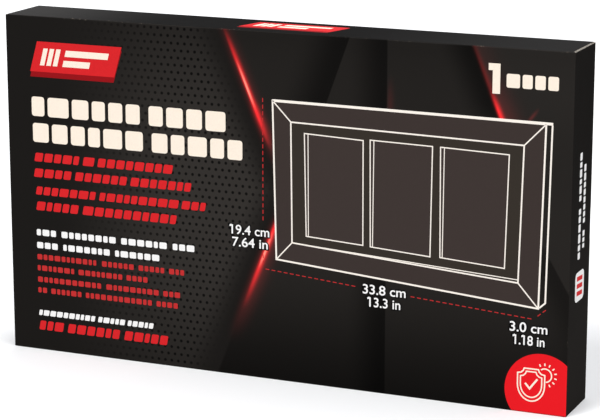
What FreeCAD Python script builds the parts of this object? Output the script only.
import FreeCAD, Part

# A printed tuck-end retail carton standing on its long edge, packed with a deep picture frame that shows
# three graded card slabs. Millimetres, +Z up, the printed front faces -Y, and the origin is the centre of
# the face that the carton stands on. Each solid is written to parts/NODE.step.

import math
import os

V = FreeCAD.Vector

# --- Carton -------------------------------------------------------------------------------------------
CARTON_W = 356.0            # along X
CARTON_D = 39.0             # along Y
CARTON_H = 208.0            # along Z
BOARD = 1.0                 # micro-flute board with a printed liner
FOLD_RADIUS = 0.8           # outside radius of a creased corner
FOLD_MIDDLE = 67.5          # degrees, the middle of the half of that corner's arc that each panel has
GLUE_FLAP = 15.0            # height of the glued seam inside the back panel
GLUE_FLAP_END = 14.0        # how far the seam stops short of each end
THUMB_NOTCH_RADIUS = 9.0

# --- End flaps ----------------------------------------------------------------------------------------
BACK_INSET = 0.3            # the back panel's cut end sits this far inside the closure's face
DUST_INSET = 1.15           # the dust flaps fold this far inside the closure's face
CLOSURE_TRIM = 0.3          # the closure is this much shorter than the carton at each end
TUCK_GAP = 0.4              # between the tuck flap's fold and the back panel
TUCK_LENGTH = 11.0
TUCK_ANGLE = 76.0           # inside angle between the closed closure and its tuck flap
TUCK_TRIM = 4.0
TUCK_CORNER = 7.0
DUST_LENGTH = 30.0
DUST_FRONT_TRIM = 1.6
DUST_TAPER = 0.52           # sideways run of the dust flap's slanted front edge per unit of length
DUST_BACK_TRIM = 6.0
DUST_CORNER = 3.0
SQUARE_MITRE = 45.0
CLOSURE_MITRE = 44.0        # a degree of relief, so that the crease never binds
TUCK_MITRE = TUCK_ANGLE / 2 - 1.0

# --- Display frame ------------------------------------------------------------------------------------
FRAME_W = 338.0
FRAME_D = 30.0
FRAME_H = 194.0
FRONT_GAP = 2.0             # between the carton's front panel and the frame
RAIL = 24.0                 # visible width of a rail
RAIL_FLAT = 3.0             # flat band along the outer edge before the slope starts
RAIL_DROP = 7.0             # how far the sloping face falls towards the glazing
RAIL_LIP = 3.0              # thickness of the lip that holds the glazing
RAIL_BACK = 17.0            # width of a rail behind the lip
RAIL_EDGE_RADIUS = 1.5
GLAZING = 2.0
MAT = 2.5
MAT_BEVEL = 1.5
TRAY = 12.0
POCKET_DEPTH = 7.5
BACKBOARD = 3.0
LAYER_PLAY = 0.5            # the layers are this much smaller than the rebate on each side

# --- Graded card slabs and the places that hold them ----------------------------------------------------
SLAB_PITCH = 87.5
SLAB_PLACES = (-1, 0, 1)
POCKET_W = 82.5
POCKET_H = 137.0
FINGER_RADIUS = 8.0
WINDOW_W = 77.0
WINDOW_H = 126.0

# --- Frame fittings -----------------------------------------------------------------------------------
NAIL_LEG = 6.0
NAIL_THICK = 0.6
NAIL_DEPTH = 7.0
NAIL_ANGLE = 50.0           # between each leg of a V-nail and the mitre line
NAIL_PLACES = (6.0, 13.0)   # along the mitre, from the outer corner
BUTTON_PIVOT = 10.0         # from the frame's outer edge
BUTTON_LENGTH = 12.5        # pivot to the centre of the tip
BUTTON_ROOT_RADIUS = 5.0
BUTTON_TIP_RADIUS = 3.5
BUTTON_THICK = 1.4
BUTTON_LIFT = 0.05
BUTTON_BORE = 1.55
BUTTON_X = 50.0
SCREW_RADIUS = 1.45
SCREW_PILOT = 1.5
SCREW_LENGTH = 11.0
SCREW_HEAD_RADIUS = 3.0
SCREW_HEAD = 1.5
SCREW_HEAD_ROUND = 0.9
SCREW_RECESS = 0.7
SCREW_SLOT_REACH = 1.65     # the cross recess: half the length of each slot
SCREW_SLOT_HALF = 0.3       # and half its width
HANGER_X = 100.0
HANGER_LENGTH = 45.0
HANGER_HEIGHT = 10.0
HANGER_METAL = 0.8
HANGER_RISE = 1.9
HANGER_FOOT = 7.0
HANGER_RAMP = 3.0
HANGER_TEETH = 9
TOOTH_DEPTH = 2.2
HANGER_NAIL_RADIUS = 0.75
HANGER_NAIL_HOLE = 0.85
HANGER_NAIL_LENGTH = 9.0
HANGER_NAIL_HEAD_RADIUS = 1.9
HANGER_NAIL_HEAD = 0.5
BUMPER_X = 105.0
BUMPER_RADIUS = 5.0
BUMPER_HEIGHT = 2.2

# --- Packing ------------------------------------------------------------------------------------------
PACK_PLAY = 0.1
FOAM_LEG = 45.0             # how far a corner block reaches along each side of the frame
FOAM_BACK = 3.6
FOAM_END_GAP = 0.25
TUCK_ROOM = 4.0             # the corner blocks stop this far short of the frame's end behind the frame
SHEET_THICK = 1.6
SHEET_W = 246.0

# --- Making -------------------------------------------------------------------------------------------
PAST = 1.0                  # how far a cut runs past the faces it goes through
NEAR = 0.01                 # how close an edge lies to the face it is picked by

# --- Worked out from the above --------------------------------------------------------------------------
HALF_W = CARTON_W / 2
FRONT = -CARTON_D / 2
BACK = CARTON_D / 2
MID_H = CARTON_H / 2
FRAME_FRONT = FRONT + BOARD + FRONT_GAP
FRAME_BACK = FRAME_FRONT + FRAME_D
FRAME_BOTTOM = MID_H - FRAME_H / 2
FRAME_TOP = MID_H + FRAME_H / 2
LAYER_W = FRAME_W - 2 * RAIL_BACK - 2 * LAYER_PLAY
LAYER_H = FRAME_H - 2 * RAIL_BACK - 2 * LAYER_PLAY
GLAZING_FRONT = FRAME_FRONT + RAIL_DROP + RAIL_LIP
MAT_FRONT = GLAZING_FRONT + GLAZING
TRAY_FRONT = MAT_FRONT + MAT
BOARD_FRONT = TRAY_FRONT + TRAY

os.makedirs("parts", exist_ok=True)


def save(name, shape):
    """Writes one node, whether it is one solid or a group of separate ones."""
    shape.exportStep(os.path.join("parts", name + ".step"))


def box(x0, x1, y0, y1, z0, z1):
    return Part.makeBox(x1 - x0, y1 - y0, z1 - z0, V(x0, y0, z0))


def prism(points, along):
    """A straight prism on a closed polygon."""
    return Part.Face(Part.makePolygon([*points, points[0]])).extrude(along)


def mirrored_x(shape):
    return shape.mirror(V(0, 0, 0), V(1, 0, 0))


def mirrored_z(shape):
    """The shape's twin at the other end of the carton's height."""
    return shape.mirror(V(0, 0, MID_H), V(0, 0, 1))


def one_solid(shape):
    """The single solid inside a boolean's result."""
    return shape.Solids[0]


def set_up(shape, origin, along, inward):
    """Carries a shape from its drawing plane: local X to along, local Y to inward."""
    across = along.cross(inward)
    turn = FreeCAD.Matrix(
        along.x, inward.x, across.x, origin.x,
        along.y, inward.y, across.y, origin.y,
        along.z, inward.z, across.z, origin.z,
        0, 0, 0, 1,
    )
    moved = shape.copy()
    moved.Placement = FreeCAD.Placement(turn)
    return moved


# --- Board --------------------------------------------------------------------------------------------
def edge_points(kind, mitre=SQUARE_MITRE):
    """Where a board's edge starts on its inner face and on its printed face, both along the panel."""
    if kind == "cut":
        return 0.0, 0.0
    if kind == "hinge":
        return BOARD / math.tan(math.radians(mitre)), 0.0
    return BOARD, FOLD_RADIUS


def board_strip(length, width, start, end):
    """A flat strip of board: X along its section, Y from the printed face inwards, Z along its width.

    Each end of the section is ("cut",), ("hinge", mitre angle) or ("fold",): a cut end is square, a hinge
    end is mitred down to a crease on the printed face, and a fold end is half of a rounded corner.
    """
    inner_a, outer_a = edge_points(*start)
    inner_b, outer_b = edge_points(*end)
    inset = FOLD_RADIUS * (1 - math.sqrt(0.5))
    middle = math.radians(FOLD_MIDDLE)
    bend_x, bend_y = FOLD_RADIUS * (1 - math.cos(middle)), FOLD_RADIUS * (1 - math.sin(middle))
    edges = [Part.LineSegment(V(outer_a, 0, 0), V(length - outer_b, 0, 0))]
    last = V(length - outer_b, 0, 0)
    if end[0] == "fold":
        tip = V(length - inset, inset, 0)
        edges.append(Part.Arc(last, V(length - bend_x, bend_y, 0), tip))
        last = tip
    edges.append(Part.LineSegment(last, V(length - inner_b, BOARD, 0)))
    edges.append(Part.LineSegment(V(length - inner_b, BOARD, 0), V(inner_a, BOARD, 0)))
    if start[0] == "fold":
        tip = V(inset, inset, 0)
        edges.append(Part.LineSegment(V(inner_a, BOARD, 0), tip))
        edges.append(Part.Arc(tip, V(bend_x, bend_y, 0), V(outer_a, 0, 0)))
    else:
        edges.append(Part.LineSegment(V(inner_a, BOARD, 0), V(outer_a, 0, 0)))
    wire = Part.Wire([e.toShape() for e in edges])
    return Part.Face(wire).extrude(V(0, 0, width))


def mitre_wedge(tip, across, inward, along):
    """The corner removed from a panel's end so that its edge falls at 45 degrees from a crease at tip."""
    return prism([tip, tip + inward * BOARD, tip + inward * BOARD + across * BOARD], along)


def make_front_panel():
    strip = board_strip(CARTON_H, CARTON_W, ("fold",), ("fold",))
    panel = set_up(strip, V(HALF_W, FRONT, 0), V(0, 0, 1), V(0, 1, 0))
    right = mitre_wedge(V(HALF_W, FRONT, 0), V(-1, 0, 0), V(0, 1, 0), V(0, 0, CARTON_H))
    return one_solid(panel.cut(right).cut(mirrored_x(right)))


def make_back_panel():
    """The back panel's lower end is a cut edge that covers the seam."""
    length = CARTON_W - 2 * BACK_INSET
    strip = board_strip(CARTON_H, length, ("cut",), ("fold",))
    panel = set_up(strip, V(-length / 2, BACK, 0), V(0, 0, 1), V(0, -1, 0))
    notch_start = V(length / 2, BACK - 2 * BOARD, MID_H)
    notch = Part.makeCylinder(THUMB_NOTCH_RADIUS, 4 * BOARD, notch_start, V(0, 1, 0))
    return one_solid(panel.cut(notch).cut(mirrored_x(notch)))


def make_top_panel():
    half = HALF_W - DUST_INSET
    strip = board_strip(CARTON_D, 2 * half, ("fold",), ("fold",))
    panel = set_up(strip, V(half, FRONT, CARTON_H), V(0, 1, 0), V(0, 0, -1))
    end = mitre_wedge(V(half, FRONT, CARTON_H), V(-1, 0, 0), V(0, 0, -1), V(0, CARTON_D, 0))
    return one_solid(panel.cut(end).cut(mirrored_x(end)))


def make_bottom_panel():
    """The bottom panel runs from the front fold to the seam fold, inside the back panel."""
    half = HALF_W - DUST_INSET
    strip = board_strip(CARTON_D - BOARD, 2 * half, ("fold",), ("fold",))
    panel = set_up(strip, V(-half, FRONT, 0), V(0, 1, 0), V(0, 0, 1))
    end = mitre_wedge(V(half, FRONT, 0), V(-1, 0, 0), V(0, 0, 1), V(0, CARTON_D, 0))
    return one_solid(panel.cut(end).cut(mirrored_x(end)))


def make_glue_flap():
    length = CARTON_W - 2 * GLUE_FLAP_END
    strip = board_strip(GLUE_FLAP, length, ("fold",), ("cut",))
    return set_up(strip, V(-length / 2, BACK - BOARD, 0), V(0, 0, 1), V(0, -1, 0))


CLOSURE_REACH = CARTON_D - BOARD - TUCK_GAP     # from the closure's crease to the tuck flap's crease
TUCK_FOLD = V(HALF_W, FRONT + CLOSURE_REACH, 0)


def make_closure():
    """The right closure, closed."""
    height = CARTON_H - 2 * CLOSURE_TRIM
    strip = board_strip(CLOSURE_REACH, height, ("hinge", CLOSURE_MITRE), ("hinge", TUCK_MITRE))
    return set_up(strip, V(HALF_W, FRONT, CLOSURE_TRIM), V(0, 1, 0), V(-1, 0, 0))


def rounded_end(strip, length, radius):
    """Rounds the two corners of a strip's cut end."""
    corners = [e for e in strip.Edges if e.BoundBox.XMin > length - NEAR and e.BoundBox.ZLength < NEAR]
    return strip.makeFillet(radius, corners)


def make_tuck_flap():
    """The right tuck flap, leaning in from the closure's far edge, with its free corners rounded off."""
    height = CARTON_H - 2 * TUCK_TRIM
    strip = board_strip(TUCK_LENGTH, height, ("hinge", TUCK_MITRE), ("cut",))
    strip = rounded_end(strip, TUCK_LENGTH, TUCK_CORNER)
    lean = math.radians(TUCK_ANGLE)
    along = V(-math.sin(lean), -math.cos(lean), 0)
    inward = V(math.cos(lean), -math.sin(lean), 0)
    return set_up(strip, TUCK_FOLD + V(0, 0, TUCK_TRIM), along, inward)


def make_dust_flap():
    """The top right dust flap, hanging closed. Its front edge slants back so that the closure clears it."""
    width = CARTON_D - DUST_FRONT_TRIM - DUST_BACK_TRIM
    strip = board_strip(DUST_LENGTH, width, ("hinge", CLOSURE_MITRE), ("cut",))
    slant = DUST_TAPER * DUST_LENGTH
    corner = [V(0, -BOARD, 0), V(DUST_LENGTH, -BOARD, slant), V(DUST_LENGTH, -BOARD, 0)]
    waste = prism(corner, V(0, 3 * BOARD, 0))
    strip = one_solid(strip.cut(waste))
    strip = rounded_end(strip, DUST_LENGTH, DUST_CORNER)
    return set_up(strip, V(HALF_W - DUST_INSET, FRONT + DUST_FRONT_TRIM, CARTON_H), V(0, 0, -1), V(-1, 0, 0))


# --- Display frame ------------------------------------------------------------------------------------
def rail_profile(run):
    """A length of moulding along +X: Z is distance inwards from the outer edge, Y is depth from the front."""
    outline = Part.makePolygon([
        V(0, 0, 0), V(0, 0, RAIL_FLAT), V(0, RAIL_DROP, RAIL), V(0, RAIL_DROP + RAIL_LIP, RAIL),
        V(0, RAIL_DROP + RAIL_LIP, RAIL_BACK), V(0, FRAME_D, RAIL_BACK), V(0, FRAME_D, 0), V(0, 0, 0),
    ])
    bar = Part.Face(outline).extrude(V(run, 0, 0))
    front = [e for e in bar.Edges if e.BoundBox.YMax < NEAR and e.BoundBox.ZMax < NEAR]
    return bar.makeFillet(RAIL_EDGE_RADIUS, front)


def make_rail(run):
    """A bottom rail of the given outer length, mitred at both ends, with its outer edge on Z = 0."""
    bar = rail_profile(run)
    bar.translate(V(-run / 2, 0, 0))
    half, inner = run / 2, run / 2 - RAIL
    keep = prism([V(-half, 0, 0), V(half, 0, 0), V(inner, 0, RAIL), V(-inner, 0, RAIL)], V(0, FRAME_D, 0))
    return one_solid(bar.common(keep))


def rail_in_place(run, quarter_turns, offset):
    """The rail turned about the frame's centre, so that its outer edge ends up offset from the centre."""
    rail = make_rail(run)
    rail.translate(V(0, FRAME_FRONT, -offset))
    rail.rotate(V(0, 0, 0), V(0, 1, 0), 90 * quarter_turns)
    rail.translate(V(0, 0, MID_H))
    return rail


def make_v_nails():
    """Two V-nails across each mitre, driven in from the back."""
    nails = []
    for side in (-1, 1):
        for level in (-1, 1):
            for place in NAIL_PLACES:
                legs = []
                for turn in (-NAIL_ANGLE, NAIL_ANGLE):
                    leg = Part.makeBox(NAIL_LEG, NAIL_DEPTH, NAIL_THICK, V(0, 0, -NAIL_THICK / 2))
                    leg.rotate(V(0, 0, 0), V(0, 1, 0), turn)
                    legs.append(leg)
                nail = one_solid(legs[0].fuse(legs[1]).removeSplitter())
                heading = math.degrees(math.atan2(level, -side))
                nail.rotate(V(0, 0, 0), V(0, 1, 0), heading)
                reach = place * math.sqrt(0.5)
                corner_x = side * (FRAME_W / 2 - reach)
                corner_z = MID_H + level * (FRAME_H / 2 - reach)
                nail.translate(V(corner_x, FRAME_BACK - NAIL_DEPTH, corner_z))
                nails.append(nail)
    return nails


def make_glazing():
    return box(-LAYER_W / 2, LAYER_W / 2, GLAZING_FRONT, MAT_FRONT, MID_H - LAYER_H / 2, MID_H + LAYER_H / 2)


def make_mat():
    """The window board, with a bevelled window for each slab."""
    mat = box(-LAYER_W / 2, LAYER_W / 2, MAT_FRONT, TRAY_FRONT, MID_H - LAYER_H / 2, MID_H + LAYER_H / 2)
    for place in SLAB_PLACES:
        wide, narrow = WINDOW_W / 2 + MAT_BEVEL, WINDOW_W / 2
        tall, short = WINDOW_H / 2 + MAT_BEVEL, WINDOW_H / 2
        window = Part.makeWedge(-wide, 0, -tall, -short, -narrow, wide, MAT, tall, short, narrow)
        window.translate(V(place * SLAB_PITCH, MAT_FRONT, MID_H))
        mat = mat.cut(window)
    return one_solid(mat)


def make_tray():
    """The foam tray: a pocket for each slab, with finger notches above and below it."""
    tray = box(-LAYER_W / 2, LAYER_W / 2, TRAY_FRONT, BOARD_FRONT, MID_H - LAYER_H / 2, MID_H + LAYER_H / 2)
    for place in SLAB_PLACES:
        x = place * SLAB_PITCH
        pocket = box(x - POCKET_W / 2, x + POCKET_W / 2, TRAY_FRONT, TRAY_FRONT + POCKET_DEPTH,
                     MID_H - POCKET_H / 2, MID_H + POCKET_H / 2)
        tray = tray.cut(pocket)
        for level in (-1, 1):
            centre = V(x, TRAY_FRONT, MID_H + level * POCKET_H / 2)
            notch = Part.makeCylinder(FINGER_RADIUS, POCKET_DEPTH, centre, V(0, 1, 0))
            tray = tray.cut(notch)
    return one_solid(tray)


def make_backboard():
    return box(-LAYER_W / 2, LAYER_W / 2, BOARD_FRONT, BOARD_FRONT + BACKBOARD,
               MID_H - LAYER_H / 2, MID_H + LAYER_H / 2)


# --- Frame fittings -----------------------------------------------------------------------------------
# Each turn button's name, pivot and heading: the angle of its tip about +Y from +X, pointing to the centre.
BUTTONS = (
    ("turn_button_top_left", -BUTTON_X, FRAME_TOP - BUTTON_PIVOT, 90),
    ("turn_button_top_right", BUTTON_X, FRAME_TOP - BUTTON_PIVOT, 90),
    ("turn_button_bottom_left", -BUTTON_X, FRAME_BOTTOM + BUTTON_PIVOT, -90),
    ("turn_button_bottom_right", BUTTON_X, FRAME_BOTTOM + BUTTON_PIVOT, -90),
    ("turn_button_left", -FRAME_W / 2 + BUTTON_PIVOT, MID_H, 0),
    ("turn_button_right", FRAME_W / 2 - BUTTON_PIVOT, MID_H, 180),
)


def make_turn_button(x, z, heading):
    """A tapered plate with round ends: the wide end turns on its screw, the tip laps over the backboard."""
    up = V(0, 1, 0)
    root = Part.makeCylinder(BUTTON_ROOT_RADIUS, BUTTON_THICK, V(0, 0, 0), up)
    tip = Part.makeCylinder(BUTTON_TIP_RADIUS, BUTTON_THICK, V(BUTTON_LENGTH, 0, 0), up)
    lean = math.asin((BUTTON_ROOT_RADIUS - BUTTON_TIP_RADIUS) / BUTTON_LENGTH)
    root_x, root_z = BUTTON_ROOT_RADIUS * math.sin(lean), BUTTON_ROOT_RADIUS * math.cos(lean)
    tip_x, tip_z = BUTTON_LENGTH + BUTTON_TIP_RADIUS * math.sin(lean), BUTTON_TIP_RADIUS * math.cos(lean)
    web = prism([V(root_x, 0, -root_z), V(tip_x, 0, -tip_z), V(tip_x, 0, tip_z), V(root_x, 0, root_z)],
                V(0, BUTTON_THICK, 0))
    plate = one_solid(root.fuse(web).fuse(tip).removeSplitter())
    plate = one_solid(plate.cut(Part.makeCylinder(BUTTON_BORE, BUTTON_THICK, V(0, 0, 0), up)))
    plate.rotate(V(0, 0, 0), up, heading)
    plate.translate(V(x, FRAME_BACK + BUTTON_LIFT, z))
    return plate


def make_button_screw(x, z):
    """A pan-head screw through a turn button into the rail, with a cross recess."""
    seat = FRAME_BACK + BUTTON_THICK + 2 * BUTTON_LIFT
    shank_length = SCREW_LENGTH - SCREW_RADIUS
    shank = Part.makeCylinder(SCREW_RADIUS, shank_length, V(0, seat, 0), V(0, -1, 0))
    point = Part.makeCone(SCREW_RADIUS, 0, SCREW_RADIUS, V(0, seat - shank_length, 0), V(0, -1, 0))
    head = Part.makeCylinder(SCREW_HEAD_RADIUS, SCREW_HEAD, V(0, seat, 0), V(0, 1, 0))
    rim = [e for e in head.Edges if e.BoundBox.YMin > seat + SCREW_HEAD - NEAR]
    head = head.makeFillet(SCREW_HEAD_ROUND, rim)
    screw = shank.fuse(point).fuse(head).removeSplitter()
    top = seat + SCREW_HEAD
    for half_x, half_z in ((SCREW_SLOT_REACH, SCREW_SLOT_HALF), (SCREW_SLOT_HALF, SCREW_SLOT_REACH)):
        screw = screw.cut(box(-half_x, half_x, top - SCREW_RECESS, top + PAST, -half_z, half_z))
    screw = one_solid(screw)
    screw.translate(V(x, 0, z))
    return screw


def make_hanger(x):
    """A sawtooth hanger: a strip with two feet on the rail, raised and toothed between them."""
    half, ramp_end = HANGER_LENGTH / 2, HANGER_LENGTH / 2 - HANGER_FOOT
    ramp_start = ramp_end - HANGER_RAMP
    low, high = FRAME_BACK, FRAME_BACK + HANGER_RISE
    low_top, high_top = low + HANGER_METAL, high + HANGER_METAL
    outer = [V(-half, low_top, 0), V(-ramp_end, low_top, 0), V(-ramp_start, high_top, 0),
             V(ramp_start, high_top, 0), V(ramp_end, low_top, 0), V(half, low_top, 0)]
    inner = [V(half, low, 0), V(ramp_end, low, 0), V(ramp_start, high, 0),
             V(-ramp_start, high, 0), V(-ramp_end, low, 0), V(-half, low, 0)]
    strip = prism(outer + inner, V(0, 0, HANGER_HEIGHT))
    pitch = 2 * ramp_start / HANGER_TEETH
    for i in range(HANGER_TEETH):
        left = -ramp_start + i * pitch
        tooth = prism([V(left, low - PAST, 0), V(left + pitch, low - PAST, 0),
                       V(left + pitch / 2, low - PAST, TOOTH_DEPTH)],
                      V(0, HANGER_RISE + HANGER_METAL + 2 * PAST, 0))
        strip = strip.cut(tooth)
    for side in (-1, 1):
        start = V(side * (half - HANGER_FOOT / 2), low - PAST, HANGER_HEIGHT / 2)
        hole = Part.makeCylinder(HANGER_NAIL_HOLE, HANGER_METAL + 2 * PAST, start, V(0, 1, 0))
        strip = strip.cut(hole)
    strip = one_solid(strip)
    strip.translate(V(x, 0, FRAME_TOP - RAIL_BACK / 2 - HANGER_HEIGHT / 2))
    return strip


def make_hanger_nail(x):
    """One of a hanger's two round-head nails."""
    seat = FRAME_BACK + HANGER_METAL
    z = FRAME_TOP - RAIL_BACK / 2
    shank = Part.makeCylinder(HANGER_NAIL_RADIUS, HANGER_NAIL_LENGTH, V(x, seat, z), V(0, -1, 0))
    head = Part.makeCylinder(HANGER_NAIL_HEAD_RADIUS, HANGER_NAIL_HEAD, V(x, seat, z), V(0, 1, 0))
    return one_solid(shank.fuse(head).removeSplitter())


def make_bumper(x):
    """A self-adhesive wall bumper on the back of the bottom rail."""
    seat = V(x, FRAME_BACK, FRAME_BOTTOM + RAIL_BACK / 2)
    disc = Part.makeCylinder(BUMPER_RADIUS, BUMPER_HEIGHT, seat, V(0, 1, 0))
    rim = [e for e in disc.Edges if e.BoundBox.YMin > FRAME_BACK + BUMPER_HEIGHT - NEAR]
    return disc.makeFillet(BUMPER_HEIGHT / 2, rim)


# --- Packing ------------------------------------------------------------------------------------------
def make_foam_corner():
    """The bottom right corner block: it cups the frame's corner and leaves room for the tuck flap behind."""
    frame_end = FRAME_W / 2
    block = box(frame_end - FOAM_LEG, HALF_W - DUST_INSET - BOARD - FOAM_END_GAP,
                FRONT + BOARD + PACK_PLAY, FRAME_BACK + PACK_PLAY + FOAM_BACK,
                BOARD + PACK_PLAY, FRAME_BOTTOM + FOAM_LEG)
    cup = box(0, frame_end + PACK_PLAY, FRAME_FRONT - PACK_PLAY, FRAME_BACK + PACK_PLAY,
              FRAME_BOTTOM - PACK_PLAY, MID_H)
    tuck_room = box(frame_end - TUCK_ROOM, HALF_W, FRAME_BACK - PACK_PLAY, BACK, 0, MID_H)
    return one_solid(block.cut(cup).cut(tuck_room))


def make_foam_sheet():
    """The soft sheet between the glazing and the carton's front panel, between the corner blocks."""
    front = FRONT + BOARD + PACK_PLAY
    return box(-SHEET_W / 2, SHEET_W / 2, front, front + SHEET_THICK, FRAME_BOTTOM, FRAME_TOP)


def write_carton():
    save("front_panel", make_front_panel())
    save("back_panel", make_back_panel())
    save("top_panel", make_top_panel())
    save("bottom_panel", make_bottom_panel())
    save("glue_flap", make_glue_flap())
    closure, tuck, dust = make_closure(), make_tuck_flap(), make_dust_flap()
    for side, place in (("right", lambda s: s), ("left", mirrored_x)):
        save(f"{side}_closure", place(closure))
        save(f"{side}_tuck_flap", place(tuck))
        save(f"{side}_dust_flap_top", place(dust))
        save(f"{side}_dust_flap_bottom", place(mirrored_z(dust)))


def write_packing():
    block = make_foam_corner()
    for side, place in (("right", lambda s: s), ("left", mirrored_x)):
        save(f"foam_corner_bottom_{side}", place(block))
        save(f"foam_corner_top_{side}", place(mirrored_z(block)))
    save("foam_face_sheet", make_foam_sheet())


def write_frame():
    nails = make_v_nails()
    screws = [make_button_screw(x, z) for _, x, z, _ in BUTTONS]
    hanger_nails = [make_hanger_nail(side * HANGER_X + end * (HANGER_LENGTH - HANGER_FOOT) / 2)
                    for side in (-1, 1) for end in (-1, 1)]
    pilots = [Part.makeCylinder(SCREW_PILOT, SCREW_LENGTH, V(x, FRAME_BACK, z), V(0, -1, 0))
              for _, x, z, _ in BUTTONS]
    rails = (
        ("rail_bottom", FRAME_W, 0, FRAME_H / 2),
        ("rail_left", FRAME_H, 1, FRAME_W / 2),
        ("rail_top", FRAME_W, 2, FRAME_H / 2),
        ("rail_right", FRAME_H, 3, FRAME_W / 2),
    )
    for name, run, quarter_turns, offset in rails:
        rail = rail_in_place(run, quarter_turns, offset)
        for tool in nails + pilots + hanger_nails:
            if rail.BoundBox.intersect(tool.BoundBox):
                rail = rail.cut(tool)
        save(name, one_solid(rail))
    save("corner_v_nails", Part.makeCompound(nails))
    save("acrylic_window", make_glazing())
    save("window_mat", make_mat())
    save("slab_tray", make_tray())
    save("back_board", make_backboard())
    for name, x, z, heading in BUTTONS:
        save(name, make_turn_button(x, z, heading))
    save("turn_button_screws", Part.makeCompound(screws))
    save("hanger_left", make_hanger(-HANGER_X))
    save("hanger_right", make_hanger(HANGER_X))
    save("hanger_nails", Part.makeCompound(hanger_nails))
    save("wall_bumpers", Part.makeCompound([make_bumper(side * BUMPER_X) for side in (-1, 1)]))


write_carton()
write_packing()
write_frame()
